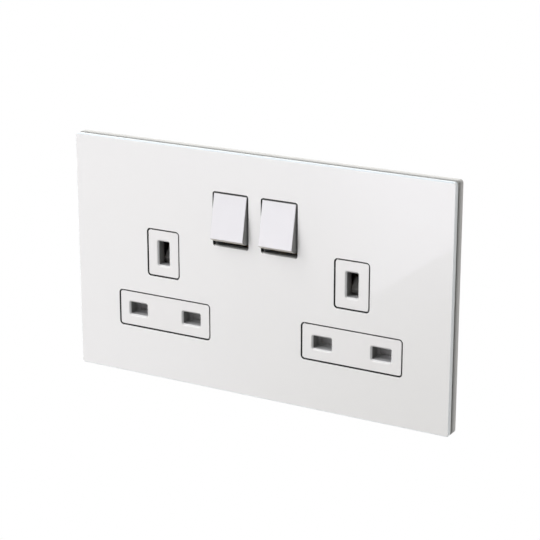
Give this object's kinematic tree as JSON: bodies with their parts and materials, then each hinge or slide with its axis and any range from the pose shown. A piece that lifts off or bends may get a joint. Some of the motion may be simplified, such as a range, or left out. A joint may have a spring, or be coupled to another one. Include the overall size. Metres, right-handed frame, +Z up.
{
  "type": "socket outlet",
  "caption": "Two-gang switched wall socket with a white glass front plate, flush bosses with shuttered pin apertures, and side by side rocker switches.",
  "frame": {"origin": "on the wall plane, behind the middle of the front plate and midway between the two fixing holes", "axes": "+Z up, -Y out of the wall towards the user, +X to the user's right"},
  "size_m": [0.1472, 0.0302, 0.086],
  "materials": {
    "white_glass": "polished glass, painted white on its back",
    "carrier_plastic": "fine moulded grain",
    "grey_frame": "fine moulded grain",
    "white_moulding": "moulded, high gloss",
    "rear_moulding": "moulded, fine grain",
    "rocker_white": "moulded, satin gloss",
    "nylon": "moulded, smooth",
    "spring_steel": "drawn wire",
    "contact_brass": "rolled strip",
    "contact_silver": "silver alloy",
    "shutter_white": "moulded, smooth",
    "terminal_brass": "machined bar",
    "screw_steel": "zinc plated",
    "rivet_steel": "zinc plated"
  },
  "bodies": {
    "socket_unit": {"mounting_frame": "grey_frame", "socket_front": "white_moulding", "rear_housing": "rear_moulding", "shutter_spring_left": "spring_steel", "live_contact_left": "contact_brass", "fixed_tip_left": "contact_silver", "shutter_spring_right": "spring_steel", "live_contact_right": "contact_brass", "fixed_tip_right": "contact_silver", "live_busbar": "contact_brass", "neutral_busbar": "contact_brass", "earth_busbar": "contact_brass", "live_terminal": "terminal_brass", "live_screw": "screw_steel", "neutral_terminal": "terminal_brass", "neutral_screw": "screw_steel", "earth_left_terminal": "terminal_brass", "earth_left_screw": "screw_steel", "earth_right_terminal": "terminal_brass", "earth_right_screw": "screw_steel", "assembly_rivets": "rivet_steel"},
    "front_plate": {"glass_plate": "white_glass", "cover_frame": "carrier_plastic"},
    "rocker_left": {"rocker_left": "rocker_white", "plunger_spring_left": "spring_steel"},
    "plunger_left": {"plunger_left": "nylon"},
    "moving_contact_left": {"moving_contact_left": "contact_brass", "moving_tip_left": "contact_silver"},
    "shutter_left": {"shutter_left": "shutter_white"},
    "rocker_right": {"rocker_right": "rocker_white", "plunger_spring_right": "spring_steel"},
    "plunger_right": {"plunger_right": "nylon"},
    "moving_contact_right": {"moving_contact_right": "contact_brass", "moving_tip_right": "contact_silver"},
    "shutter_right": {"shutter_right": "shutter_white"}
  },
  "joints": [
    {"name": "front_plate_slide", "type": "slide", "parent": "socket_unit", "child": "front_plate", "axis": [0, -1, 0], "range_m": [0, 0.02]},
    {"name": "rocker_left_hinge", "type": "hinge", "parent": "socket_unit", "child": "rocker_left", "pos_m": [-0.00953, 0.00019, 0.01925], "axis": [1, 0, 0], "range_deg": [0, 22.5]},
    {"name": "contact_left_hinge", "type": "hinge", "parent": "socket_unit", "child": "moving_contact_left", "pos_m": [-0.00953, 0.00889, 0.01925], "axis": [1, 0, 0], "range_deg": [-12, 0]},
    {"name": "plunger_left_slide", "type": "slide", "parent": "rocker_left", "child": "plunger_left", "axis": [0, -0.9808, 0.1951], "range_m": [0, 0.0005], "stiffness_N_per_m": 150, "springref_m": -0.001},
    {"name": "shutter_left_slide", "type": "slide", "parent": "socket_unit", "child": "shutter_left", "axis": [0, 0, -1], "range_m": [0, 0.0051], "stiffness_N_per_m": 120, "springref_m": -0.003, "deforming": ["shutter_spring_left"]},
    {"name": "rocker_right_hinge", "type": "hinge", "parent": "socket_unit", "child": "rocker_right", "pos_m": [0.00953, 0.00019, 0.01925], "axis": [1, 0, 0], "range_deg": [0, 22.5]},
    {"name": "contact_right_hinge", "type": "hinge", "parent": "socket_unit", "child": "moving_contact_right", "pos_m": [0.00953, 0.00889, 0.01925], "axis": [1, 0, 0], "range_deg": [-12, 0]},
    {"name": "plunger_right_slide", "type": "slide", "parent": "rocker_right", "child": "plunger_right", "axis": [0, -0.9808, 0.1951], "range_m": [0, 0.0005], "stiffness_N_per_m": 150, "springref_m": -0.001},
    {"name": "shutter_right_slide", "type": "slide", "parent": "socket_unit", "child": "shutter_right", "axis": [0, 0, -1], "range_m": [0, 0.0051], "stiffness_N_per_m": 120, "springref_m": -0.003, "deforming": ["shutter_spring_right"]}
  ],
  "couplings": [
    {"joint": "contact_left_hinge", "follows": "rocker_left_hinge", "ratio": -0.5333},
    {"joint": "contact_right_hinge", "follows": "rocker_right_hinge", "ratio": -0.5333}
  ]
}
